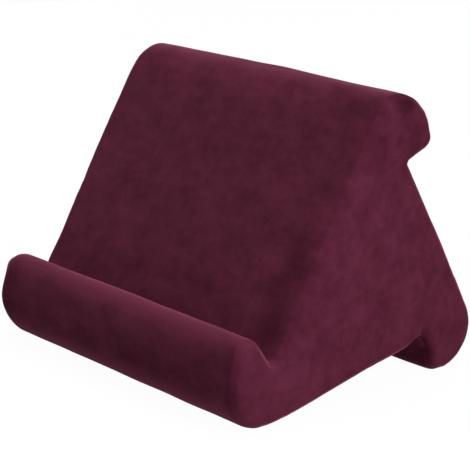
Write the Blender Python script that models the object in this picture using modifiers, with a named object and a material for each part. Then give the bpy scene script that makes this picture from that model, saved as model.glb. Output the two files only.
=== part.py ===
"""Tablet cushion stand: a foam block of pinwheel section in a sewn velour cover.

Metres, +Z up. The origin is on the floor under the middle of the cushion. +X runs along
the cushion, and the side that a tablet leans on faces -Y.

The section, seen from the +X end, has three sides laid round it like a pinwheel. Each side
is a flat rest face that starts in a notch and runs to a rounded shoulder. Beyond the
shoulder the next side's ledge turns in to its own notch. So the cushion holds a tablet at
three angles: on the front face, on the rear face, or turned over on the base face.
"""

import math
from collections import namedtuple

import bmesh
import bpy
from mathutils import Matrix, Vector

# Whole cushion
LENGTH = 0.2896             # along X, over the cover
END_ROUNDING = 0.008        # radius of the edge round each end
COVER_THICKNESS = 0.0018    # velour on its backing
FOAM_CLEARANCE = 0.0003     # between the foam and the cover round it
SEAM_GAP = 0.0008           # between the edges of two panels, on the outside
FLOOR_PRESS = 0.0008        # how far lip and foot are pressed flat by the weight

# Front side: the face that a tablet leans on, and the lip that it stands on
FRONT_NOTCH_Y = -0.085
FRONT_NOTCH_Z = 0.0463
FRONT_TILT = 59.5           # degrees from +Y, the way the face runs up
FRONT_RUN = 0.2208          # from the notch to the corner of the crest
FRONT_OPENING = 71.0        # degrees between the face and its ledge
LIP_DEPTH = 0.054           # from the notch to the corner of the lip
FRONT_NOTCH_RADIUS = 0.004
LIP_TIP_RADIUS = 0.0119
CREST_RADIUS = 0.0226

# Rear side: the ledge under the crest, and the face that falls to the foot
REAR_NOTCH_Y = 0.0474
REAR_NOTCH_Z = 0.173
REAR_TILT = -59.7
REAR_RUN = 0.1792
REAR_OPENING = 81.7
CREST_LEDGE_DEPTH = 0.0267
REAR_NOTCH_RADIUS = 0.0025
CREST_TIP_RADIUS = 0.009
CREST_BACK_HEIGHT = 0.0247  # of the crest's back, from the end of the ledge up
CREST_BACK_TILT = 99.8      # degrees from +Y, the way the crest's back runs up
CREST_BACK_RADIUS = 0.0215
HEEL_RADIUS = 0.0272

# Base side: the ledge in front of the foot, and the face that runs forward to the lip
BASE_NOTCH_Y = 0.0695
BASE_NOTCH_Z = 0.0304
BASE_TILT = -169.0
BASE_RUN = 0.2067
BASE_OPENING = 95.4
FOOT_LEDGE_DEPTH = 0.0393
BASE_NOTCH_RADIUS = 0.009
FOOT_TIP_RADIUS = 0.0172
LIP_SHOULDER_RADIUS = 0.0344

# Fineness of the curves
ARC_STEP = math.radians(11.0)    # of each rounded corner of the section
END_STEPS = 4                    # facets in each half of the rounding at an end
FOAM_END_STEPS = 2               # facets in the whole of it on the foam inside
SETTLING_TURNS = 12              # tries at laying lip and foot level on the floor

# Looks
VELOUR_COLOUR = (0.091, 0.020, 0.038, 1.0)
FOAM_COLOUR = (0.78, 0.76, 0.66, 1.0)

Bend = namedtuple("Bend", "centre radius side first_angle turn")
SkinPoint = namedtuple("SkinPoint", "place normal")


def heading(degrees):
    """A unit step in the section's (y, z) plane."""
    return Vector((math.cos(math.radians(degrees)), math.sin(math.radians(degrees))))


def side_corners(notch, tilt, run, opening, depth):
    """One side's notch, the corner where its face ends, and the corner where its ledge ends."""
    shoulder = notch + run * heading(tilt)
    ledge_end = notch + depth * heading(tilt + opening)
    return notch, shoulder, ledge_end


def section_corners():
    """The ten sharp corners and their radii, clockwise from the front notch."""
    front = side_corners(
        Vector((FRONT_NOTCH_Y, FRONT_NOTCH_Z)), FRONT_TILT, FRONT_RUN, FRONT_OPENING, LIP_DEPTH
    )
    rear = side_corners(
        Vector((REAR_NOTCH_Y, REAR_NOTCH_Z)), REAR_TILT, REAR_RUN, REAR_OPENING, CREST_LEDGE_DEPTH
    )
    base = side_corners(
        Vector((BASE_NOTCH_Y, BASE_NOTCH_Z)), BASE_TILT, BASE_RUN, BASE_OPENING, FOOT_LEDGE_DEPTH
    )
    crest_back = rear[2] + CREST_BACK_HEIGHT * heading(CREST_BACK_TILT)
    corners = [
        front[0], front[1], crest_back, rear[2],
        rear[0], rear[1], base[2],
        base[0], base[1], front[2],
    ]
    radii = [
        FRONT_NOTCH_RADIUS, CREST_RADIUS, CREST_BACK_RADIUS, CREST_TIP_RADIUS,
        REAR_NOTCH_RADIUS, HEEL_RADIUS, FOOT_TIP_RADIUS,
        BASE_NOTCH_RADIUS, LIP_SHOULDER_RADIUS, LIP_TIP_RADIUS,
    ]
    return corners, radii


def rounded_corner(before, here, after, radius):
    """The arc that rounds a corner, which reaches at most half way along the shorter edge."""
    arriving = here - before
    leaving = after - here
    turn = -arriving.angle_signed(leaving)
    half_tangent = math.tan(abs(turn) / 2)
    reach = min(radius * half_tangent, arriving.length / 2, leaving.length / 2)
    radius = reach / half_tangent
    side = math.copysign(1.0, turn)
    normal = Vector((-arriving.y, arriving.x)).normalized()
    start = here - reach * arriving.normalized()
    first_angle = math.atan2(normal.y, normal.x)
    return Bend(start + side * radius * normal, radius, side, first_angle, turn)


def rounded_corners(corners, radii):
    """A bend for each corner of the closed section."""
    following = corners[1:] + corners[:1]
    return [
        rounded_corner(corners[i - 1], here, following[i], radii[i])
        for i, here in enumerate(corners)
    ]


def along_bend(bend, first=0.0, last=1.0):
    """Points of the skin and their outward normals, over a share of one bend."""
    steps = max(2, math.ceil(abs(bend.turn) * (last - first) / ARC_STEP))
    points = []
    for step in range(steps + 1):
        share = first + (last - first) * step / steps
        angle = bend.first_angle + bend.turn * share
        normal = Vector((math.cos(angle), math.sin(angle)))
        points.append(SkinPoint(bend.centre - bend.side * bend.radius * normal, normal))
    return points


def outline(bends):
    """The whole closed skin line of the section."""
    return [point for bend in bends for point in along_bend(bend)]


def lowest(points):
    return min(points, key=lambda point: point.y)


def settled_corners(corners, radii):
    """The corners turned and moved until lip and foot rest on the floor, centred on the origin."""
    for _ in range(SETTLING_TURNS):
        line = [point.place for point in outline(rounded_corners(corners, radii))]
        middle = sum(point.x for point in line) / len(line)
        lip = lowest([point for point in line if point.x < middle])
        foot = lowest([point for point in line if point.x >= middle])
        slope = math.atan2(foot.y - lip.y, foot.x - lip.x)
        corners = [Matrix.Rotation(-slope, 2) @ corner for corner in corners]
    line = [point.place for point in outline(rounded_corners(corners, radii))]
    centre = (min(point.x for point in line) + max(point.x for point in line)) / 2
    floor = lowest(line).y + FLOOR_PRESS
    return [corner - Vector((centre, floor)) for corner in corners]


def ring(line, depth, end, turn):
    """The skin line at one station of the cushion, as points in space.

    depth is how far this skin lies inside the cover's outer face, end is -1 or +1, and turn
    is how far the station has gone round the rounded edge of that end, in radians.
    """
    reach = END_ROUNDING - depth
    x = end * (LENGTH / 2 - END_ROUNDING + reach * math.sin(turn))
    inset = depth + reach * (1 - math.cos(turn))
    return [
        Vector((x, flat.x, max(flat.y, depth)))
        for flat in (point.place - inset * point.normal for point in line)
    ]


def seam_turn():
    """Half of the seam gap at an end, as an angle round the rounded edge."""
    return SEAM_GAP / 2 / END_ROUNDING


def wrap_turns():
    """Turns of the stations from the straight part to the seam at an end."""
    last = math.pi / 4 - seam_turn()
    return [last * step / END_STEPS for step in range(END_STEPS + 1)]


def end_turns():
    """Turns of the stations from the seam at an end to its flat face."""
    first = math.pi / 4 + seam_turn()
    return [first + (math.pi / 2 - first) * step / END_STEPS for step in range(END_STEPS + 1)]


def loft(mesh, rings, closed):
    """Faces between neighbouring rings of the same count, given from -X to +X."""
    rows = [[mesh.verts.new(place) for place in places] for places in rings]
    last = len(rows[0]) if closed else len(rows[0]) - 1
    for near, far in zip(rows, rows[1:]):
        for i in range(last):
            j = (i + 1) % len(near)
            mesh.faces.new((near[i], far[i], far[j], near[j]))
    return rows


def principled(name, colour, roughness):
    material = bpy.data.materials.new(name)
    material.use_nodes = True
    shader = material.node_tree.nodes["Principled BSDF"]
    shader.inputs["Base Color"].default_value = colour
    shader.inputs["Roughness"].default_value = roughness
    shader.inputs["Metallic"].default_value = 0.0
    return material


def finished(mesh, name, material, collection):
    """The bmesh as a named object with smooth curves and sharp edges."""
    data = bpy.data.meshes.new(name)
    mesh.to_mesh(data)
    mesh.free()
    data.shade_smooth()
    data.set_sharp_from_angle(angle=math.radians(30.0))
    data.materials.append(material)
    piece = bpy.data.objects.new(name, data)
    collection.objects.link(piece)
    return piece


def sewn_from_cloth(piece):
    """Gives an open sheet the thickness of the cover, on its inner side."""
    wall = piece.modifiers.new("cover thickness", "SOLIDIFY")
    wall.thickness = COVER_THICKNESS
    wall.offset = -1.0
    wall.use_even_offset = True
    return piece


def make_foam(bends, material, collection):
    """The block that carries the weight: the whole section, a cover's thickness in."""
    depth = COVER_THICKNESS + FOAM_CLEARANCE
    line = outline(bends)
    turns = [math.pi / 2 * step / FOAM_END_STEPS for step in range(FOAM_END_STEPS + 1)]
    left = [ring(line, depth, -1, turn) for turn in reversed(turns)]
    right = [ring(line, depth, 1, turn) for turn in turns]
    mesh = bmesh.new()
    rows = loft(mesh, left + right, closed=True)
    mesh.faces.new(rows[0])
    mesh.faces.new(reversed(rows[-1]))
    return finished(mesh, "foam_core", material, collection)


def make_wrap_panel(name, bends, material, collection):
    """A panel sewn from one notch, over the rounded corners between, to the next notch."""
    first_notch, *rounded, last_notch = bends
    line = along_bend(first_notch, 0.5 + notch_share(first_notch), 1.0)
    line += outline(rounded)
    line += along_bend(last_notch, 0.0, 0.5 - notch_share(last_notch))
    turns = wrap_turns()
    left = [ring(line, 0.0, -1, turn) for turn in reversed(turns)]
    right = [ring(line, 0.0, 1, turn) for turn in turns]
    mesh = bmesh.new()
    loft(mesh, left + right, closed=False)
    return sewn_from_cloth(finished(mesh, name, material, collection))


def notch_share(notch):
    """Half of the seam gap in a notch, as a share of its bend."""
    return SEAM_GAP / 2 / (notch.radius * abs(notch.turn))


def make_end_panel(name, end, bends, material, collection):
    """The flat panel at one end, with its edge turned round to the seam."""
    line = outline(bends)
    rings = [ring(line, 0.0, end, turn) for turn in end_turns()]
    mesh = bmesh.new()
    if end < 0:
        rows = loft(mesh, rings[::-1], closed=True)
        mesh.faces.new(rows[0])
    else:
        rows = loft(mesh, rings, closed=True)
        mesh.faces.new(reversed(rows[-1]))
    return sewn_from_cloth(finished(mesh, name, material, collection))


def clear_scene():
    for thing in list(bpy.data.objects):
        bpy.data.objects.remove(thing)


def build():
    clear_scene()
    stand = bpy.data.collections.new("tablet_cushion_stand")
    bpy.context.scene.collection.children.link(stand)
    velour = principled("burgundy velour", VELOUR_COLOUR, 0.9)
    foam = principled("cut foam", FOAM_COLOUR, 0.95)

    corners, radii = section_corners()
    bends = rounded_corners(settled_corners(corners, radii), radii)
    make_foam(bends, foam, stand)
    make_wrap_panel("front_panel", bends[0:5], velour, stand)
    make_wrap_panel("rear_panel", bends[4:8], velour, stand)
    make_wrap_panel("base_panel", bends[7:10] + bends[0:1], velour, stand)
    make_end_panel("left_end_panel", -1, bends, velour, stand)
    make_end_panel("right_end_panel", 1, bends, velour, stand)


build()
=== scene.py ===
# %% [markdown]
# # Tablet cushion stand
#
# The real thing is a block of cut upholstery foam in a sewn velour cover. Its section looks
# like a pinwheel: three flat rest faces, each with a ledge at its foot, so that it can stand
# on any side and hold a tablet or a book at three angles.
#
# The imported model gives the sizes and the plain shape. This script reads the section from it
# and makes the cover again as soft cloth: five panels that swell a little between their
# seams, a sewn groove where they meet, and the short pile that makes velour look deep.

# %% Load the fixed frame
import math

import bmesh
import bpy
import numpy as np
from mathutils import Matrix, Vector, geometry, kdtree, noise


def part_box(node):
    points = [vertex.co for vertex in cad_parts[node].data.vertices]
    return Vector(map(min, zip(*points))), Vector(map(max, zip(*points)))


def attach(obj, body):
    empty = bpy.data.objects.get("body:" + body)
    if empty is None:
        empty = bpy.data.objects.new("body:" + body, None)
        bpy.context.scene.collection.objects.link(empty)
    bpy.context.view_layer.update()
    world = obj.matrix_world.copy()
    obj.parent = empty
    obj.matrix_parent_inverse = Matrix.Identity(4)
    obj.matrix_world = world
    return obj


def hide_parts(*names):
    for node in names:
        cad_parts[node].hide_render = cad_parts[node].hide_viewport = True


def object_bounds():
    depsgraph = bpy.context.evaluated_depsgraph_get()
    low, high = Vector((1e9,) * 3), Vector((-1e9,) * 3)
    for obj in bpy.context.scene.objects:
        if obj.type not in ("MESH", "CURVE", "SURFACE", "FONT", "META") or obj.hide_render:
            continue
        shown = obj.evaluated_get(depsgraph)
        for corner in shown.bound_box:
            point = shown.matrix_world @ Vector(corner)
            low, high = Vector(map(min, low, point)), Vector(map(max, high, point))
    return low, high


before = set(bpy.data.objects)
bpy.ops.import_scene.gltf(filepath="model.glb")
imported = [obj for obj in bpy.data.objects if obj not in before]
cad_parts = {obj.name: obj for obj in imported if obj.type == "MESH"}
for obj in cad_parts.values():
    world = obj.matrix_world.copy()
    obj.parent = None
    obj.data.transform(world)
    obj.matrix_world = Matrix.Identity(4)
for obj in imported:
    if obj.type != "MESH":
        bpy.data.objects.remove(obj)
cad_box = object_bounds()
print("nodes:", sorted(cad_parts))
print("CAD box:", [[round(value, 4) for value in corner] for corner in cad_box])

# %% [markdown]
# ## Camera
#
# The view looks down on the cushion from its front right corner. A long lens keeps the two
# ends almost the same size. The camera could be aimed with a Track To constraint, but a
# matrix built from azimuth, elevation and a slight roll says exactly where it stands.

# %% Camera at the photograph's angle
AZIMUTH = math.radians(48.38)
ELEVATION = math.radians(16.364)
ROLL = math.radians(0.35)
DISTANCE = 1.37354
TARGET = Vector((0.00258, 0.0004, 0.094936))
FOCAL_PIXELS = 1734.07
PICTURE_PIXELS = 470
SENSOR_MM = 36.0


def camera_matrix():
    """Where the camera stands and how it is turned."""
    towards = Vector((
        math.sin(AZIMUTH) * math.cos(ELEVATION),
        -math.cos(AZIMUTH) * math.cos(ELEVATION),
        math.sin(ELEVATION),
    ))
    level = Vector((math.cos(AZIMUTH), math.sin(AZIMUTH), 0.0))
    upright = towards.cross(level)
    right = math.cos(ROLL) * level + math.sin(ROLL) * upright
    up = towards.cross(right)
    turned = Matrix((right, up, towards)).transposed().to_4x4()
    return Matrix.Translation(TARGET + towards * DISTANCE) @ turned


lens = bpy.data.cameras.new("photograph view")
lens.sensor_width = SENSOR_MM
lens.lens = FOCAL_PIXELS / PICTURE_PIXELS * SENSOR_MM
camera = bpy.data.objects.new("photograph view", lens)
camera.matrix_world = camera_matrix()
bpy.context.scene.collection.objects.link(camera)
bpy.context.scene.camera = camera
print("lens mm:", round(lens.lens, 1))

# %% [markdown]
# ## Floor, world and lamps
#
# The cushion stands alone on white. A curved paper sweep would do it in a studio. Here one
# wide floor is enough, because the view never reaches its edge: its material adds white for
# camera rays only, so it looks white and still takes the cushion's soft shadow, while its
# own pale colour throws light back under the lip.

# %% White floor and world
FLOOR_HALF_WIDTH = 6.0
FLOOR_DROP = 0.0002         # the floor lies this far under the cushion
FLOOR_TO_OBJECT = 0.45      # how pale the floor is to the cushion
FLOOR_TO_CAMERA = 1.0       # and to the camera
FLOOR_WHITE_SHARE = 0.97
WORLD_STRENGTH = 0.10


def shader_nodes(material):
    """An empty node tree with its output, ready to be wired."""
    material.use_nodes = True
    tree = material.node_tree
    tree.nodes.clear()
    return tree, tree.nodes.new("ShaderNodeOutputMaterial")


def seen_directly(tree):
    """1 for a ray from the camera, or one that is mirrored or let through, else 0."""
    path = tree.nodes.new("ShaderNodeLightPath")
    both = tree.nodes.new("ShaderNodeMath")
    both.operation = "MAXIMUM"
    tree.links.new(path.outputs["Is Camera Ray"], both.inputs[0])
    tree.links.new(path.outputs["Is Glossy Ray"], both.inputs[1])
    every = tree.nodes.new("ShaderNodeMath")
    every.operation = "MAXIMUM"
    tree.links.new(both.outputs[0], every.inputs[0])
    tree.links.new(path.outputs["Is Transmission Ray"], every.inputs[1])
    return every.outputs[0]


def floor_material():
    """Pale paper to the cushion and its light, and plain white to the camera."""
    material = bpy.data.materials.new("white floor")
    tree, output = shader_nodes(material)
    seen = seen_directly(tree)
    pale = tree.nodes.new("ShaderNodeMapRange")
    pale.inputs["To Min"].default_value = FLOOR_TO_OBJECT
    pale.inputs["To Max"].default_value = FLOOR_TO_CAMERA
    paper = tree.nodes.new("ShaderNodeBsdfDiffuse")
    tree.links.new(seen, pale.inputs["Value"])
    tree.links.new(pale.outputs["Result"], paper.inputs["Color"])
    white = tree.nodes.new("ShaderNodeEmission")
    share = tree.nodes.new("ShaderNodeMath")
    share.operation = "MULTIPLY"
    share.inputs[1].default_value = FLOOR_WHITE_SHARE
    blend = tree.nodes.new("ShaderNodeMixShader")
    tree.links.new(seen, share.inputs[0])
    tree.links.new(share.outputs[0], blend.inputs[0])
    tree.links.new(paper.outputs[0], blend.inputs[1])
    tree.links.new(white.outputs[0], blend.inputs[2])
    tree.links.new(blend.outputs[0], output.inputs["Surface"])
    return material


bpy.ops.object.select_all(action="DESELECT")
bpy.ops.mesh.primitive_plane_add(size=2 * FLOOR_HALF_WIDTH, location=(0.0, 0.0, -FLOOR_DROP))
floor = bpy.context.object
floor.name = "floor"
floor.data.materials.append(floor_material())

world = bpy.data.worlds.new("white room")
world.use_nodes = True
bpy.context.scene.world = world
room = world.node_tree
glow = room.nodes["Background"]
strength = room.nodes.new("ShaderNodeMapRange")
strength.inputs["To Min"].default_value = WORLD_STRENGTH
strength.inputs["To Max"].default_value = 1.0
room.links.new(seen_directly(room), strength.inputs["Value"])
room.links.new(strength.outputs["Result"], glow.inputs["Strength"])
glow.inputs["Color"].default_value = (1.0, 1.0, 1.0, 1.0)
bpy.context.scene.view_settings.view_transform = "Standard"
print("floor and world are in place")

# %% Lamps
# Each lamp: its place, its width and its power in watts.
LAMPS = {
    "light on the right end": ((1.6, 0.1, 0.9), 1.0, 17.0),
    "low light on the right end": ((1.5, -0.4, 0.4), 1.0, 10.0),
    "light from above": ((0.0, 0.0, 1.8), 1.0, 18.0),
    "small light from the upper left": ((-0.5, 0.1, 1.3), 0.8, 1.5),
    "fill from the front left": ((-0.9, -1.5, 0.9), 1.2, 4.0),
    "fill from behind": ((-0.8, 1.6, 0.8), 1.2, 7.0),
    "fill from the left": ((-1.6, 0.5, 0.5), 1.2, 4.0),
}
LIT_POINT = Vector((0.0, 0.0, 0.1))


def area_lamp(name, place, width, power):
    """A square soft light that faces the cushion."""
    light = bpy.data.lights.new(name, "AREA")
    light.size = width
    light.energy = power
    lamp = bpy.data.objects.new(name, light)
    lamp.location = place
    lamp.rotation_euler = (LIT_POINT - Vector(place)).to_track_quat("-Z", "Y").to_euler()
    bpy.context.scene.collection.objects.link(lamp)


for lamp_name, (place, width, power) in LAMPS.items():
    area_lamp(lamp_name, place, width, power)
print("lamps:", len(LAMPS))

# %% [markdown]
# ## Section of the cushion
#
# The cover follows the foam, so its line is read from the foam block of the model. A copy is
# bisected half way along, which leaves one closed loop, and the loop is pushed out by the
# thickness of the cover. It could be used as it is, but its corners have facets. So a smooth
# curve is laid through its points, which keeps the flat faces flat. Last, the curve moves by
# a millimetre or two where the stuffed cover is fuller or tighter than the plain model. That
# follows the outline of the right end in the photograph, and is kept along the whole length.

# %% Read the section from the foam
MERGE = 1e-6
STRAIGHT_COSINE = 0.99999   # of the turn at a point; above it the point is not a corner
STRAIGHT_MIN = 0.008        # a longer edge is a flat face, a shorter one belongs to a curve
FLAT_STEP = 0.004           # spacing of points along the flat faces
CURVE_STEP = 0.0028         # and round the corners


def section_loop(node):
    """The closed line where the plane x = 0 cuts a node, as (y, z) points in order."""
    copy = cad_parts[node].copy()
    copy.data = copy.data.copy()
    copy.parent = None
    bpy.context.scene.collection.objects.link(copy)
    bpy.ops.object.select_all(action="DESELECT")
    copy.select_set(True)
    bpy.context.view_layer.objects.active = copy
    bpy.ops.object.mode_set(mode="EDIT")
    bpy.ops.mesh.select_all(action="SELECT")
    bpy.ops.mesh.remove_doubles(threshold=MERGE)
    bpy.ops.mesh.bisect(
        plane_co=(0.0, 0.0, 0.0), plane_no=(1.0, 0.0, 0.0), clear_inner=True, clear_outer=True
    )
    bpy.ops.object.mode_set(mode="OBJECT")
    neighbours = {}
    for edge in copy.data.edges:
        a, b = edge.vertices
        neighbours.setdefault(a, []).append(b)
        neighbours.setdefault(b, []).append(a)
    order = [0]
    while len(order) < len(neighbours):
        ahead = [k for k in neighbours[order[-1]] if k not in order[-2:]]
        order.append(ahead[0])
    loop = [Vector((copy.data.vertices[k].co.y, copy.data.vertices[k].co.z)) for k in order]
    bpy.data.objects.remove(copy)
    return loop


def without_straight_points(loop):
    """Drops the points in the middle of a straight edge, which the cut adds."""
    kept = []
    for i, here in enumerate(loop):
        arriving = (here - loop[i - 1]).normalized()
        leaving = (loop[(i + 1) % len(loop)] - here).normalized()
        if arriving.dot(leaving) < STRAIGHT_COSINE:
            kept.append(here)
    return kept


def clockwise(loop):
    """The loop in clockwise order, so that its outward side is on the left."""
    area = sum(loop[i - 1].cross(here) for i, here in enumerate(loop))
    return loop[::-1] if area > 0 else loop


def pushed_out(loop, distance):
    """The loop with every edge moved out by a distance, and the corners mitred."""
    moved = []
    for i, here in enumerate(loop):
        arriving = (here - loop[i - 1]).normalized()
        leaving = (loop[(i + 1) % len(loop)] - here).normalized()
        first = Vector((-arriving.y, arriving.x))
        second = Vector((-leaving.y, leaving.x))
        moved.append(here + distance * (first + second) / (1 + first.dot(second)))
    return moved


foam_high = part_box("foam_core")[1]
cover_wall = cad_box[1][0] - foam_high.x
loop = clockwise(without_straight_points(section_loop("foam_core")))
loop = pushed_out(loop, cover_wall)
print("section points:", len(loop), "wall mm:", round(cover_wall * 1000, 2))

# %% Smooth line of the cover
HOLLOW_TURN = 0.05          # the sine of the turn from which a corner counts as hollow


def tangents(loop):
    """The direction of the line at each point: a flat face's own, or the mean in a curve."""
    found = []
    for i, here in enumerate(loop):
        arriving = here - loop[i - 1]
        leaving = loop[(i + 1) % len(loop)] - here
        flat_before = arriving.length > STRAIGHT_MIN
        flat_after = leaving.length > STRAIGHT_MIN
        if flat_before and not flat_after:
            found.append(arriving.normalized())
        elif flat_after and not flat_before:
            found.append(leaving.normalized())
        else:
            found.append((arriving.normalized() + leaving.normalized()).normalized())
    return found


def smooth_line(loop):
    """Points along a smooth closed curve through the loop, with their outward normals."""
    directions = tangents(loop)
    places = []
    for i, start in enumerate(loop):
        end = loop[(i + 1) % len(loop)]
        span = (end - start).length
        pull_a = directions[i] * span
        pull_b = directions[(i + 1) % len(loop)] * span
        steps = math.ceil(span / (FLAT_STEP if span > STRAIGHT_MIN else CURVE_STEP))
        for step in range(steps):
            t = step / steps
            places.append(
                (2 * t**3 - 3 * t**2 + 1) * start + (t**3 - 2 * t**2 + t) * pull_a
                + (3 * t**2 - 2 * t**3) * end + (t**3 - t**2) * pull_b
            )
    ahead = places[1:] + places[:1]
    behind = places[-1:] + places[:-1]
    along = [(after - before).normalized() for after, before in zip(ahead, behind)]
    normals = [Vector((-way.y, way.x)) for way in along]
    return places, [
        (normals[i - 1] + 2 * normal + normals[(i + 1) % len(normals)]).normalized()
        for i, normal in enumerate(normals)
    ]


def notch_middles(places, normals):
    """The index of the middle of each hollow corner, where two ledges' cloth is sewn."""
    count = len(places)
    hollow = []
    for i in range(count):
        turn = normals[i - 1].cross(normals[(i + 1) % count])
        hollow.append(turn > HOLLOW_TURN)
    middles = []
    for i in range(count):
        if hollow[i] and not hollow[i - 1]:
            length = 0
            while hollow[(i + length) % count]:
                length += 1
            middles.append((i + length // 2) % count)
    return middles


# Where the stuffed cover is fuller than the model's section: a place on the section, how far
# that reaches, and how much further out the cloth lies there, or in where it is below 0.
FULLER_PLACES = [
    ((0.0538, 0.2172), 0.0100, 0.0021),
    ((0.0708, 0.1880), 0.0090, 0.0018),
    ((0.0490, 0.1715), 0.0100, 0.0005),
    ((0.0790, 0.1150), 0.0650, 0.0008),
    ((0.1060, 0.0040), 0.0090, 0.0020),
    ((0.0812, 0.0030), 0.0080, 0.0011),
    ((0.0500, 0.0240), 0.0320, 0.0022),
    ((-0.0300, 0.0090), 0.0200, -0.0006),
    ((-0.1070, 0.0025), 0.0150, 0.0008),
]


def fuller(place, normal):
    """A place of the line, moved out by what the table adds there."""
    return place + normal * sum(
        more * math.exp(-((place - Vector(spot)).length / reach) ** 2)
        for spot, reach, more in FULLER_PLACES
    )


line, line_normals = smooth_line(loop)
line = [fuller(place, normal) for place, normal in zip(line, line_normals)]
notches = sorted(notch_middles(line, line_normals), key=lambda k: line[k].x)
print("points on the line:", len(line))
print("notches, y and z in mm:", [[round(value * 1000, 1) for value in line[k]] for k in notches])

# %% [markdown]
# ## The cover as one closed surface
#
# A sewn cover is cut flat: three long panels that wrap the foam, and two end panels. They
# could be modelled one by one, but then their edges have to be matched by hand. It is easier
# to model the whole cover as one closed surface first, with a row of points exactly on every
# seam, let it swell as one, and cut it apart along the seams afterwards.
#
# The line is repeated along the cushion. At each end it turns round an edge, as the cloth is
# pulled over the foam there, and the flat end is filled with small triangles of even size,
# because cloth that is simulated on long thin faces creases along them.

# %% Stations along the cushion
END_STEPS = 8               # rows round each end
SEAM_STEP = END_STEPS // 2  # the row of them that is the seam
END_FACE_DEPTH = 1e-5       # a point of the foam is on its flat end down to this depth

PANELS = ["front_cloth", "rear_cloth", "base_cloth", "left_end_cloth", "right_end_cloth"]
REPLACED = ["front_panel", "rear_panel", "base_panel", "left_end_panel", "right_end_panel"]
FRONT, REAR, BASE, LEFT_END, RIGHT_END = range(len(PANELS))

# Where an end is softer or crisper than the rest: which end (-1 is the left one), a place on
# the section, how far that reaches, and what it adds to the radius of the edge there. A
# softer edge grows mostly along the cushion, because the lip is only a little thicker than
# its own rounding.
SOFTER_INSET_SHARE = 0.25
END_SHAPES = [
    (-1, (-0.1155, 0.0710), 0.0200, 0.0145),
    (-1, (-0.1150, 0.0120), 0.0180, 0.0045),
    (-1, (-0.1270, 0.0400), 0.0180, -0.0035),
    (-1, (-0.0830, 0.0600), 0.0180, -0.0045),
    (-1, (0.0250, 0.2240), 0.0150, 0.0085),
    (1, (-0.1020, 0.0660), 0.0150, -0.0035),
    (1, (-0.1240, 0.0220), 0.0220, 0.0040),
    (1, (-0.0620, 0.0900), 0.0400, 0.0035),
    (1, (0.0500, 0.2150), 0.0300, -0.0025),
    (1, (0.0900, 0.1000), 0.0600, -0.0015),
    (1, (0.0950, 0.0000), 0.0250, -0.0020),
    (1, (0.0812, 0.0030), 0.0100, 0.0015),
    (1, (-0.1070, 0.0030), 0.0120, 0.0025),
    (-1, (-0.0250, 0.1400), 0.0800, -0.0030),
    (1, (0.0740, 0.0140), 0.0120, 0.0040),
    (-1, (0.0740, 0.0140), 0.0120, 0.0030),
]

half_length = cad_box[1][0]
flat_end = [
    vertex.co.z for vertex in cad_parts["foam_core"].data.vertices
    if vertex.co.x > foam_high.x - END_FACE_DEPTH
]
end_radius = foam_high.z - max(flat_end) + cover_wall


def rounding(place, end):
    """The radius of the edge round one end, at one place of the section."""
    return end_radius + sum(
        change * math.exp(-((place - Vector(spot)).length / reach) ** 2)
        for side, spot, reach, change in END_SHAPES if side == end
    )


def stations():
    """Each row's share of the way along the straight part, its end, and its turn round it."""
    count = math.ceil(2 * (half_length - end_radius) / FLAT_STEP)
    turns = [math.pi / 2 * step / END_STEPS for step in range(1, END_STEPS + 1)]
    left = [(0.0, -1, turn) for turn in reversed(turns)]
    middle = [(step / count, 0, 0.0) for step in range(count + 1)]
    return left + middle + [(1.0, 1, turn) for turn in turns]


def cover_point(place, normal, left_radius, right_radius, row):
    """A point of the cover in one row, over one place of the section."""
    share, end, turn = row
    low = left_radius - half_length
    high = half_length - right_radius
    radius = left_radius if end < 0 else right_radius
    x = low + share * (high - low) + end * radius * math.sin(turn)
    change = radius - end_radius
    inset = end_radius + min(change, 0.0) + SOFTER_INSET_SHARE * max(change, 0.0)
    flat = place - inset * (1 - math.cos(turn)) * normal
    return x, flat.x, max(0.0, flat.y)


rows = stations()
print("rows:", len(rows), "end radius mm:", round(end_radius * 1000, 2))

# %% Model the whole cover
CAP_SPACING = 0.0045        # between the points of a flat end
CAP_CLEARANCE = 0.7         # of that spacing, between them and the end's edge
CAP_TOLERANCE = 1e-7        # two points that are closer than this are one


def is_inside(place, boundary):
    """Whether a point lies inside a closed line, by the edges that a ray from it crosses."""
    crossings = 0
    for i, end in enumerate(boundary):
        start = boundary[i - 1]
        if (start.y > place.y) != (end.y > place.y):
            share = (place.y - start.y) / (end.y - start.y)
            crossings += place.x < start.x + share * (end.x - start.x)
    return crossings % 2 == 1


def cap_points(boundary, spacing):
    """Evenly spaced points inside a closed line, kept clear of the line itself."""
    tree = kdtree.KDTree(len(boundary))
    for i, place in enumerate(boundary):
        tree.insert((place.x, place.y, 0.0), i)
    tree.balance()
    low = Vector((min(p.x for p in boundary), min(p.y for p in boundary)))
    high = Vector((max(p.x for p in boundary), max(p.y for p in boundary)))
    inside = []
    height = spacing * math.sqrt(3) / 2
    for row in range(int((high.y - low.y) / height) + 1):
        shift = spacing / 2 if row % 2 else 0.0
        for column in range(int((high.x - low.x) / spacing) + 1):
            place = Vector((low.x + shift + column * spacing, low.y + row * height))
            clear = tree.find((place.x, place.y, 0.0))[2] > CAP_CLEARANCE * spacing
            if clear and is_inside(place, boundary):
                inside.append(place)
    return inside


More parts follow.
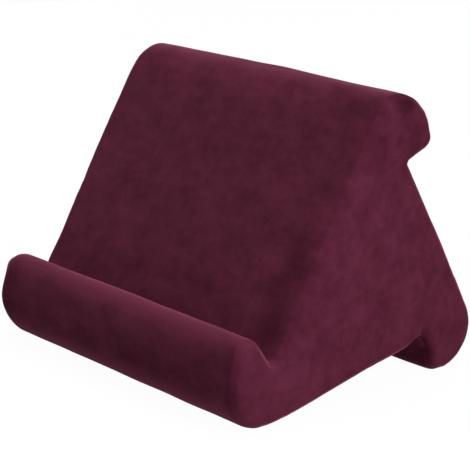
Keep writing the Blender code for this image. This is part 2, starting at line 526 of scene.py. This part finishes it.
def fill_cap(mesh, ring, panel):
    """Fills the flat end of the cover inside a ring of its vertices."""
    boundary = [Vector((vertex.co.y, vertex.co.z)) for vertex in ring]
    inner = cap_points(boundary, CAP_SPACING)
    edges = [(i, (i + 1) % len(boundary)) for i in range(len(boundary))]
    places, _, faces, origins, _, _ = geometry.delaunay_2d_cdt(
        boundary + inner, edges, [], 0, CAP_TOLERANCE, True
    )
    made = []
    for place, origin in zip(places, origins):
        if origin and origin[0] < len(ring):
            made.append(ring[origin[0]])
        else:
            made.append(mesh.verts.new((ring[0].co.x, place.x, place.y)))
    for face in faces:
        centre = sum((places[k] for k in face), Vector((0.0, 0.0))) / len(face)
        if is_inside(centre, boundary):
            mesh.faces.new([made[k] for k in face]).material_index = panel


def panel_of(index, row):
    """Which panel a face belongs to, from its place on the line and its row."""
    if row < SEAM_STEP:
        return LEFT_END
    if row >= len(rows) - 1 - SEAM_STEP:
        return RIGHT_END
    front_notch, rear_notch, base_notch = notches
    if (index - front_notch) % len(line) < (rear_notch - front_notch) % len(line):
        return FRONT
    if (index - rear_notch) % len(line) < (base_notch - rear_notch) % len(line):
        return REAR
    return BASE


def make_cover():
    """The closed surface of the whole cover, with a material number for each panel."""
    mesh = bmesh.new()
    radii = [(rounding(place, -1), rounding(place, 1)) for place in line]
    grid = [
        [
            mesh.verts.new(cover_point(place, normal, *radius, row))
            for place, normal, radius in zip(line, line_normals, radii)
        ]
        for row in rows
    ]
    for row in range(len(grid) - 1):
        for i in range(len(line)):
            j = (i + 1) % len(line)
            corners = (grid[row][i], grid[row + 1][i], grid[row + 1][j], grid[row][j])
            mesh.faces.new(corners).material_index = panel_of(i, row)
    fill_cap(mesh, grid[0], LEFT_END)
    fill_cap(mesh, grid[-1], RIGHT_END)
    bmesh.ops.recalc_face_normals(mesh, faces=mesh.faces)
    data = bpy.data.meshes.new("cover")
    mesh.to_mesh(data)
    mesh.free()
    cover = bpy.data.objects.new("cover", data)
    bpy.context.scene.collection.objects.link(cover)
    return cover


cover = make_cover()
print("cover:", len(cover.data.vertices), "points", len(cover.data.polygons), "faces")

# %% [markdown]
# ## Letting the cover swell
#
# Foam cut a little larger than its cover pushes the cloth out between the seams, and the
# seams hold it back. A subdivision surface or an inflated copy could fake that, but both
# swell evenly. A Cloth simulation with a little pressure inside finds the real form: fullest
# in the middle of each face, tight at the corners, flat on the floor. It starts from a
# slightly smaller cover, gravity is off, and no point may move further than the cap. A
# point that moves inwards goes only a part of the way, because the foam gives but little.

# %% Distance to the seams


def seam_vertices(data):
    """The vertices of every edge where two panels meet."""
    panels = {}
    for face in data.polygons:
        for key in face.edge_keys:
            panels.setdefault(key, set()).add(face.material_index)
    return sorted({k for key, both in panels.items() if len(both) > 1 for k in key})


def positions(data):
    """The vertices' places and normals as arrays."""
    places = np.empty(len(data.vertices) * 3, np.float32)
    data.vertices.foreach_get("co", places)
    normals = np.empty_like(places)
    data.vertices.foreach_get("normal", normals)
    return places.reshape(-1, 3).astype(float), normals.reshape(-1, 3).astype(float)


def nearest_seam(data):
    """For each vertex, how far the nearest seam is and the point of that seam."""
    seams = seam_vertices(data)
    tree = kdtree.KDTree(len(seams))
    for index in seams:
        tree.insert(data.vertices[index].co, index)
    tree.balance()
    distance = np.empty(len(data.vertices))
    foot = np.empty((len(data.vertices), 3))
    for vertex in data.vertices:
        place, _, away = tree.find(vertex.co)
        distance[vertex.index] = away
        foot[vertex.index] = place
    return distance, foot


def move_to(data, places):
    """Puts the vertices at new places."""
    data.vertices.foreach_set("co", places.astype(np.float32).ravel())
    data.update()


print("seam vertices:", len(seam_vertices(cover.data)))

# %% Cloth simulation
START_SMALLER = 0.0002
PRESSURE = 2.6
FRAMES = 20
SWELL_CAP = 0.0020          # the furthest that any point may move
INWARD_SHARE = 0.15         # of a move towards the foam, which gives a little
SMOOTHING_ROUNDS = 2        # over the cloth's move, so that no single point stands out
TINY = 1e-9                 # keeps a division clear of zero

FREE_HOLD = 0.03            # how strongly the foam holds the cloth, from 0 to 1
SEAM_HOLD = 0.9
HOLD_REACH = 0.007
HELD_BELOW = 0.0005         # lower than this the cover lies on the floor and stays there

CLOTH_QUALITY = 5
CLOTH_MASS = 0.3
STRETCH_STIFFNESS = 15.0    # when it is pulled or pressed along itself
SHEAR_STIFFNESS = 8.0
BENDING_STIFFNESS = 1.0


def hold_weights(places, distance):
    """1 where the cloth can't move: on the floor; less at the seams, and little elsewhere."""
    weights = FREE_HOLD + (SEAM_HOLD - FREE_HOLD) * np.exp(-((distance / HOLD_REACH) ** 2))
    weights[places[:, 2] < HELD_BELOW] = 1.0
    return weights


def swollen(cover, weights):
    """The places of the cover's vertices after the cloth has come to rest."""
    group = cover.vertex_groups.new(name="held")
    for index, weight in enumerate(weights):
        group.add([index], float(weight), "REPLACE")
    modifier = cover.modifiers.new("swell", "CLOTH")
    cloth = modifier.settings
    cloth.quality = CLOTH_QUALITY
    cloth.mass = CLOTH_MASS
    cloth.tension_stiffness = STRETCH_STIFFNESS
    cloth.compression_stiffness = STRETCH_STIFFNESS
    cloth.shear_stiffness = SHEAR_STIFFNESS
    cloth.bending_stiffness = BENDING_STIFFNESS
    cloth.use_pressure = True
    cloth.uniform_pressure_force = PRESSURE
    cloth.effector_weights.gravity = 0.0
    cloth.vertex_group_mass = "held"
    modifier.point_cache.frame_start = 1
    modifier.point_cache.frame_end = FRAMES
    scene = bpy.context.scene
    for frame_number in range(1, FRAMES + 1):
        scene.frame_set(frame_number)
    result = cover.evaluated_get(bpy.context.evaluated_depsgraph_get())
    places, _ = positions(result.data)
    cover.modifiers.remove(modifier)
    cover.vertex_groups.clear()
    scene.frame_set(1)
    return places


def smoothed(data, field, rounds):
    """A field on the vertices, averaged with its neighbours a few times."""
    pairs = np.array([edge.vertices[:] for edge in data.edges])
    count = np.bincount(pairs.ravel(), minlength=len(field))[:, None]
    for _ in range(rounds):
        total = np.zeros_like(field)
        np.add.at(total, pairs[:, 0], field[pairs[:, 1]])
        np.add.at(total, pairs[:, 1], field[pairs[:, 0]])
        field = 0.5 * field + 0.5 * total / count
    return field


def say_mm(title, metres):
    """Prints the mean and the largest of some lengths, in millimetres."""
    print(title, "mm: mean", round(metres.mean() * 1000, 2), "most", round(metres.max() * 1000, 2))


def let_swell(cover):
    """Moves the cover's points to where the cloth comes to rest, within the cap."""
    distance, _ = nearest_seam(cover.data)
    start, normals = positions(cover.data)
    smaller = start - START_SMALLER * normals
    smaller[:, 2] = np.where(start[:, 2] < MERGE, 0.0, np.maximum(smaller[:, 2], 0.0))
    move_to(cover.data, smaller)
    move = swollen(cover, hold_weights(smaller, distance)) - smaller
    length = np.linalg.norm(move, axis=1, keepdims=True)
    say_mm("free move", length)
    move *= np.minimum(1.0, SWELL_CAP / np.maximum(length, TINY))
    outward = (move * normals).sum(axis=1, keepdims=True)
    move -= (1 - INWARD_SHARE) * np.minimum(outward, 0.0) * normals
    move = smoothed(cover.data, move, SMOOTHING_ROUNDS)
    places = smaller + move
    places[:, 2] = np.maximum(places[:, 2], 0.0)
    move_to(cover.data, places)
    say_mm("against the model", ((places - start) * normals).sum(axis=1))


let_swell(cover)

# %% [markdown]
# ## Seams, puckers and creases
#
# A plain seam has its raw edges turned in, so all that shows is a soft valley where the pile
# of two panels meets. The thread draws the cloth together a little between stitches, which
# leaves small puckers across the seam. They could be a bump texture, but they catch the
# light along the edge, so they are modelled: the cover is subdivided once, and its points are
# then moved along their normals.

# %% Subdivide the cover
plain_cover = cover.copy()
plain_cover.data = cover.data.copy()
bpy.ops.object.select_all(action="DESELECT")
cover.select_set(True)
bpy.context.view_layer.objects.active = cover
finer = cover.modifiers.new("finer", "SUBSURF")
finer.levels = 1
finer.render_levels = 1
bpy.ops.object.modifier_apply(modifier=finer.name)
print("finer cover:", len(cover.data.vertices), "points")

# %% Sewn valleys and small puckers
NOTCH_VALLEY_DEPTH = 0.0016
END_VALLEY_DEPTH = 0.0005
VALLEY_WIDTH = 0.0022
TACK_DEPTHS = (0.0012, 0.0004, 0.0050)      # where three seams meet, at each notch
TACK_WIDTH = 0.0070
TACK_INSET = 0.3            # of the end's radius, from the flat end to the tack
PUCKER_DEPTH = 0.0002
PUCKER_LENGTH = 0.011       # how far a pucker runs away from its seam
PUCKER_REACH = 3            # of those lengths, past which there is nothing left to work out
PUCKER_SPACING = 0.007      # between puckers, along the seam
PUCKER_STRENGTH = 0.45      # on average; stretches of seam below 0 have none
PUCKER_STRETCH = 0.05       # how long a stretch of seam with strong or weak puckers is
UNEVEN_DEPTH = 0.0002       # of the foam under the cloth
UNEVEN_SIZE = 0.035
UNEVEN_SHIFT, STRENGTH_SHIFT, WAVE_SHIFT = 1.0, 3.0, 8.0    # so that no two noises are alike
RESTING_BELOW = 0.0004      # lower than this a point lies on the floor and keeps its height


def noise_at(points, size, shift):
    """Smooth noise from about -0.5 to 0.5, with features of a given size in metres."""
    offset = Vector((shift, 2.7 * shift, -1.3 * shift))
    return np.array([noise.noise(Vector(point) / size + offset) for point in points])


def tack_relief(places):
    """How far the cover goes in at the two ends of each notch."""
    depth = np.zeros(len(places))
    for notch, pull in zip(notches, TACK_DEPTHS):
        for end in (-1, 1):
            corner = np.array((end * (half_length - TACK_INSET * end_radius), *line[notch]))
            away = np.linalg.norm(places - corner, axis=1)
            depth += pull * np.exp(-((away / TACK_WIDTH) ** 2))
    return depth


def seam_relief(data):
    """How far each vertex goes in at the seams and puckers, in metres."""
    distance, foot = nearest_seam(data)
    at_end = np.abs(foot[:, 0]) > half_length - end_radius
    depth = np.where(at_end, END_VALLEY_DEPTH, NOTCH_VALLEY_DEPTH)
    valley = depth * np.exp(-((distance / VALLEY_WIDTH) ** 2))
    near = distance < PUCKER_REACH * PUCKER_LENGTH
    pucker = np.zeros(len(distance))
    strength = PUCKER_STRENGTH + noise_at(foot[near], PUCKER_STRETCH, STRENGTH_SHIFT)
    waves = noise_at(foot[near], PUCKER_SPACING, WAVE_SHIFT)
    fade = np.exp(-((distance[near] / PUCKER_LENGTH) ** 2))
    pucker[near] = 2 * PUCKER_DEPTH * waves * np.maximum(0.0, strength) * fade
    return valley + pucker


# %% Creases that the cushion shows
# Each crease: its place, the way it runs, half its length, half its width and its depth.
# Those at the left end are guesses.
CREASES = [
    ((0.1448, -0.0999, 0.0430), (0.0, 0.6, 1.0), 0.0050, 0.0035, 0.0014),
    ((0.1409, 0.0140, 0.2127), (0.3, 0.3, -1.0), 0.0070, 0.0026, 0.0004),
    ((0.1443, 0.0683, 0.0370), (0.0, 0.12, -1.0), 0.0065, 0.0021, 0.0020),
    ((0.1448, -0.0538, 0.0152), (0.0, -0.3, 1.0), 0.0080, 0.0035, 0.0008),
    ((0.1448, -0.0378, 0.0236), (0.0, -0.2, 1.0), 0.0090, 0.0035, 0.0007),
    ((-0.1448, 0.0677, 0.0420), (0.0, 0.25, -1.0), 0.0100, 0.0030, 0.0011),
    ((-0.1448, -0.0860, 0.0430), (0.0, 0.4, -1.0), 0.0110, 0.0034, 0.0012),
    ((-0.1448, 0.0370, 0.1700), (0.0, 1.0, 0.25), 0.0100, 0.0032, 0.0010),
    ((0.1448, 0.0370, 0.1710), (0.0, 1.0, 0.15), 0.0090, 0.0032, 0.0008),
]


def crease_relief(places, normals):
    """How far the cover goes in at the creases. Each lies in the surface at its place."""
    depth = np.zeros(len(places))
    for place, run, half_long, half_wide, amount in CREASES:
        offset = places - np.array(place)
        normal = normals[(offset**2).sum(axis=1).argmin()]
        along = np.array(run) - np.dot(run, normal) * normal
        along /= np.linalg.norm(along)
        across = np.cross(normal, along)
        spread = (offset @ along / half_long) ** 2 + (offset @ across / half_wide) ** 2
        depth += amount * np.exp(-spread) * np.clip(normals @ normal, 0.0, 1.0)
    return depth


def add_relief(cover):
    """Moves the cover's points along their normals by all the relief together."""
    places, normals = positions(cover.data)
    depth = seam_relief(cover.data) + tack_relief(places) + crease_relief(places, normals)
    depth += 2 * UNEVEN_DEPTH * noise_at(places, UNEVEN_SIZE, UNEVEN_SHIFT)
    resting = places[:, 2] < RESTING_BELOW
    moved = places - depth[:, None] * normals
    moved[:, 2] = np.where(resting, places[:, 2], np.maximum(moved[:, 2], 0.0))
    move_to(cover.data, moved)
    say_mm("depth of the relief", depth)


add_relief(cover)
add_relief(plain_cover)

# %% [markdown]
# ## Velour
#
# Velour has a short, dense pile. Light that falls along the fibres is swallowed, and light
# that grazes their tips comes back, so edges that turn away look pale and what faces you
# looks deep. Sheen on the Principled shader does that. The pile also lies a little
# differently wherever a hand has brushed it: that is the slow mottling, made with noise that
# is stretched along the cushion. The fibres themselves are a fine grain in colour and bump.
#
# Broad strokes in the colour of the pile paint light and shade: a painted highlight along
# the top and the bottom edge of the lip, and painted shade on the front of the lip, along the
# top of the crest, in the notches and in the hollow between the lip and the front face. Noise
# can't know those places, so they are kept as a number on each point of the cover, which the
# material reads. The list follows the photograph, so it holds no stroke of its own for a side
# out of view.

# %% Broad strokes of painted light and shade in the pile
# Each stroke: its middle, the way it runs, half its length, half its width, and how much
# paler (above 0) or deeper (below 0) the pile is there. Most are painted light: paler on the
# top and bottom edges of the lip, and painted shade on the front of the lip and at its left
# end, along the crest's top, in the notch above the rear foot, between the lip and the front
# face, at the lip's right end and on the front face near the right end. The others make the
# pile paler low on the right end and darker in patches near the crest's right end.
PILE_AND_PAINTED_LIGHT_STROKES = [
    ((0.0, -0.1190, 0.0700), (1.0, 0.0, 0.0), 0.300, 0.0150, 0.62),
    ((0.0, -0.1270, 0.0280), (1.0, 0.0, 0.0), 0.300, 0.0120, -0.36),
    ((0.0, -0.1160, 0.0060), (1.0, 0.0, 0.0), 0.300, 0.0100, 0.65),
    ((0.1200, 0.0100, 0.2120), (1.0, 0.0, -0.3), 0.050, 0.0160, -0.28),
    ((0.0, 0.0430, 0.2245), (1.0, 0.0, 0.0), 0.300, 0.0110, -0.95),
    ((0.1448, -0.0600, 0.0300), (0.0, 1.0, -0.1), 0.060, 0.0200, 0.32),
    ((0.1448, 0.0560, 0.2000), (0.0, 0.0, 1.0), 0.025, 0.0150, -0.22),
    ((-0.1350, -0.1240, 0.0450), (0.0, 0.0, 1.0), 0.030, 0.0160, -0.60),
    ((0.1200, -0.0560, 0.0950), (0.0, 0.5, 0.86), 0.060, 0.0120, -0.30),
    ((0.1430, 0.0720, 0.0180), (0.0, 0.3, -1.0), 0.012, 0.0080, -1.35),
    ((0.1385, -0.1240, 0.0350), (0.0, 0.0, 1.0), 0.035, 0.0045, -0.50),
    ((0.1300, -0.0720, 0.0660), (0.0, 0.5, 0.86), 0.016, 0.0120, -0.40),
]


def mark_pile_and_painted_light(data):
    """Writes how the pile is brushed, with its painted light and shade, at each point, as an
    attribute of the mesh.
    """
    places, _ = positions(data)
    brushed_and_painted_light = np.zeros(len(places))
    for middle, run, half_long, half_wide, amount in PILE_AND_PAINTED_LIGHT_STROKES:
        offset = places - np.array(middle)
        along = offset @ (np.array(run) / np.linalg.norm(run))
        away = (offset**2).sum(axis=1) - along**2
        brushed_and_painted_light += amount * np.exp(-((along / half_long) ** 2) - away / half_wide**2)
    attribute = data.attributes.new("brushed_and_painted_light", "FLOAT", "POINT")
    attribute.data.foreach_set("value", brushed_and_painted_light.astype(np.float32))
    print("pile from", round(brushed_and_painted_light.min(), 2), "to", round(brushed_and_painted_light.max(), 2))


mark_pile_and_painted_light(cover.data)

# %% Velour material
VELOUR_DEEP = (0.058, 0.0084, 0.0210, 1.0)
VELOUR_BRUSHED = (0.106, 0.0182, 0.0405, 1.0)
SHEEN_TINT = (1.0, 0.27, 0.42, 1.0)
DEEPEST_LEAN_AND_PAINTED_SHADE = -0.75        # below 0 the pile is darker than the deep colour, for painted shade in the notch


def noise_texture(tree, vector, scale, detail, roughness=0.5):
    """Noise with a given number of features to the metre."""
    texture = tree.nodes.new("ShaderNodeTexNoise")
    texture.inputs["Scale"].default_value = scale
    texture.inputs["Detail"].default_value = detail
    texture.inputs["Roughness"].default_value = roughness
    tree.links.new(vector, texture.inputs["Vector"])
    return texture.outputs["Fac"]


def stretched(tree, vector, scale):
    """Coordinates that are scaled along each axis. Below 1 a texture grows longer there."""
    mapping = tree.nodes.new("ShaderNodeMapping")
    mapping.inputs["Scale"].default_value = scale
    tree.links.new(vector, mapping.inputs["Vector"])
    return mapping.outputs["Vector"]


def ranged(tree, value, low, high, to_low=0.0, to_high=1.0):
    """A value read from low to high and given out from to_low to to_high."""
    node = tree.nodes.new("ShaderNodeMapRange")
    node.inputs["From Min"].default_value = low
    node.inputs["From Max"].default_value = high
    node.inputs["To Min"].default_value = to_low
    node.inputs["To Max"].default_value = to_high
    tree.links.new(value, node.inputs["Value"])
    return node.outputs["Result"]


def combined(tree, operation, first, second):
    """The result of a Math node on two values, each a plain number or another node's."""
    node = tree.nodes.new("ShaderNodeMath")
    node.operation = operation
    for socket, value in zip(node.inputs, (first, second)):
        if isinstance(value, float):
            socket.default_value = value
        else:
            tree.links.new(value, socket)
    return node.outputs[0]


def velour_material():
    """Deeper where the pile stands up, paler where it leans, with a sheen at the edges, and with
    the strokes' painted light and shade.
    """
    material = bpy.data.materials.new("burgundy velour")
    tree, output = shader_nodes(material)
    shader = tree.nodes.new("ShaderNodeBsdfPrincipled")
    shader.inputs["Roughness"].default_value = 0.92
    shader.inputs["Specular IOR Level"].default_value = 0.03
    shader.inputs["Sheen Weight"].default_value = 0.32
    shader.inputs["Sheen Roughness"].default_value = 0.38
    shader.inputs["Sheen Tint"].default_value = SHEEN_TINT
    place = tree.nodes.new("ShaderNodeTexCoord").outputs["Object"]
    patches = noise_texture(tree, stretched(tree, place, (0.75, 1.0, 1.0)), 52.0, 3.0, 0.55)
    strokes = noise_texture(tree, stretched(tree, place, (0.5, 1.3, 1.3)), 95.0, 2.0)
    tufts = noise_texture(tree, place, 150.0, 2.0)
    fibres = noise_texture(tree, place, 900.0, 2.0, 0.6)
    broad_and_painted_light = tree.nodes.new("ShaderNodeAttribute")
    broad_and_painted_light.attribute_name = "brushed_and_painted_light"
    lean_and_painted_light = ranged(tree, patches, 0.28, 0.72, 0.16, 0.84)
    # the strokes add painted highlight and painted shade to the pile's lean
    lean_and_painted_light = combined(tree, "ADD", lean_and_painted_light, broad_and_painted_light.outputs["Fac"])
    lean_and_painted_light = combined(tree, "ADD", lean_and_painted_light, ranged(tree, strokes, 0.3, 0.7, -0.02, 0.22))
    lean_and_painted_light = combined(tree, "ADD", lean_and_painted_light, ranged(tree, fibres, 0.3, 0.7, -0.34, -0.08))
    lean_and_painted_light = combined(tree, "ADD", lean_and_painted_light, ranged(tree, tufts, 0.3, 0.7, -0.10, 0.14))
    lean_and_painted_light = combined(tree, "MAXIMUM", combined(tree, "MINIMUM", lean_and_painted_light, 1.0), DEEPEST_LEAN_AND_PAINTED_SHADE)
    colour = tree.nodes.new("ShaderNodeMix")
    colour.data_type = "RGBA"
    # unclamped, so painted shade below 0 goes darker than the deep colour
    colour.clamp_factor = False
    colour.inputs["A"].default_value = VELOUR_DEEP
    colour.inputs["B"].default_value = VELOUR_BRUSHED
    tree.links.new(lean_and_painted_light, colour.inputs["Factor"])
    tree.links.new(colour.outputs["Result"], shader.inputs["Base Color"])
    bump = tree.nodes.new("ShaderNodeBump")
    bump.inputs["Strength"].default_value = 0.35
    bump.inputs["Distance"].default_value = 0.0006
    tree.links.new(fibres, bump.inputs["Height"])
    tree.links.new(bump.outputs["Normal"], shader.inputs["Normal"])
    tree.links.new(shader.outputs[0], output.inputs["Surface"])
    return material


velour = velour_material()
print("velour nodes:", len(velour.node_tree.nodes))

# %% [markdown]
# ## Five panels of cloth
#
# Now the cover is cut apart along its seams. Each panel is a copy of the whole with the faces
# of the others deleted, so the panels meet edge to edge, and Solidify gives it the thickness
# of the cloth on the inner side.

# %% Cut the panels
CLOTH_THICKNESS = 0.0014
SMOOTH_ANGLE = math.radians(50.0)       # a sharper edge, such as a panel's rim, stays sharp


def cut_panel(cover, number, name):
    """The faces of one panel as a piece of its own, as thick as the cloth."""
    piece = cover.copy()
    piece.data = cover.data.copy()
    piece.name = name
    bpy.context.scene.collection.objects.link(piece)
    bpy.ops.object.select_all(action="DESELECT")
    piece.select_set(True)
    bpy.context.view_layer.objects.active = piece
    bpy.ops.object.mode_set(mode="EDIT")
    bpy.ops.mesh.select_mode(type="FACE")
    bpy.ops.mesh.select_all(action="DESELECT")
    bpy.ops.object.mode_set(mode="OBJECT")
    others = [face.material_index != number for face in piece.data.polygons]
    piece.data.polygons.foreach_set("select", others)
    bpy.ops.object.mode_set(mode="EDIT")
    bpy.ops.mesh.delete(type="FACE")
    bpy.ops.object.mode_set(mode="OBJECT")
    wall = piece.modifiers.new("cloth", "SOLIDIFY")
    wall.thickness = CLOTH_THICKNESS
    wall.offset = -1.0
    bpy.ops.object.modifier_apply(modifier=wall.name)
    piece.data.polygons.foreach_set("material_index", [0] * len(piece.data.polygons))
    piece.data.materials.clear()
    piece.data.materials.append(velour)
    bpy.ops.object.shade_smooth_by_angle(angle=SMOOTH_ANGLE)
    return piece


panels = [cut_panel(cover, number, name) for number, name in enumerate(PANELS)]
for panel, node in zip(panels, REPLACED):
    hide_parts(node)
    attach(panel, "root")
    print(panel.name, len(panel.data.polygons), "faces")

# %% [markdown]
# ## Foam block
#
# The foam fills the cover and shows nowhere while it is sewn shut, but it is part of the
# thing. Its surface is the cover's own, drawn in by more than the cloth's thickness and a
# little further along the seams. Cut foam is pale and full of small open cells, which a
# Voronoi texture gives, with painted shade in the hollow middle of each cell.

# %% Foam material
FOAM_LIGHT = (0.80, 0.77, 0.66, 1.0)
FOAM_CELL_SHADE = (0.52, 0.48, 0.38, 1.0)


def foam_material():
    """Pale foam with painted shade in the hollow middle of each small cell."""
    material = bpy.data.materials.new("cut foam")
    tree, output = shader_nodes(material)
    shader = tree.nodes.new("ShaderNodeBsdfPrincipled")
    shader.inputs["Roughness"].default_value = 0.95
    place = tree.nodes.new("ShaderNodeTexCoord").outputs["Object"]
    cells = tree.nodes.new("ShaderNodeTexVoronoi")
    cells.inputs["Scale"].default_value = 850.0
    tree.links.new(place, cells.inputs["Vector"])
    colour = tree.nodes.new("ShaderNodeMix")
    colour.data_type = "RGBA"
    # painted shade: darker in the hollow middle of each cell
    colour.inputs["A"].default_value = FOAM_CELL_SHADE
    colour.inputs["B"].default_value = FOAM_LIGHT
    tree.links.new(ranged(tree, cells.outputs["Distance"], 0.1, 0.5), colour.inputs["Factor"])
    tree.links.new(colour.outputs["Result"], shader.inputs["Base Color"])
    bump = tree.nodes.new("ShaderNodeBump")
    bump.inputs["Strength"].default_value = 0.6
    bump.inputs["Distance"].default_value = 0.0008
    tree.links.new(cells.outputs["Distance"], bump.inputs["Height"])
    tree.links.new(bump.outputs["Normal"], shader.inputs["Normal"])
    tree.links.new(shader.outputs[0], output.inputs["Surface"])
    return material


# %% Foam block inside the cover
FOAM_INSET = 0.0021         # from the outside of the cloth
SEAM_ROOM = 0.0016          # what the foam goes in further at a seam
SEAM_ROOM_REACH = 0.006


def make_foam_block(cover):
    """A copy of the cover, drawn in so that it stays clear of the cloth everywhere."""
    block = cover.copy()
    block.data = cover.data.copy()
    block.name = "foam_block"
    bpy.context.scene.collection.objects.link(block)
    places, normals = positions(block.data)
    distance, _ = nearest_seam(block.data)
    inset = FOAM_INSET + SEAM_ROOM * np.exp(-((distance / SEAM_ROOM_REACH) ** 2))
    move_to(block.data, places - inset[:, None] * normals)
    block.data.polygons.foreach_set("material_index", [0] * len(block.data.polygons))
    block.data.materials.clear()
    block.data.materials.append(foam_material())
    block.data.shade_smooth()
    return block


foam_block = make_foam_block(plain_cover)
bpy.data.objects.remove(plain_cover)
bpy.data.objects.remove(cover)
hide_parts("foam_core")
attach(foam_block, "root")
print("foam block:", len(foam_block.data.polygons), "faces")
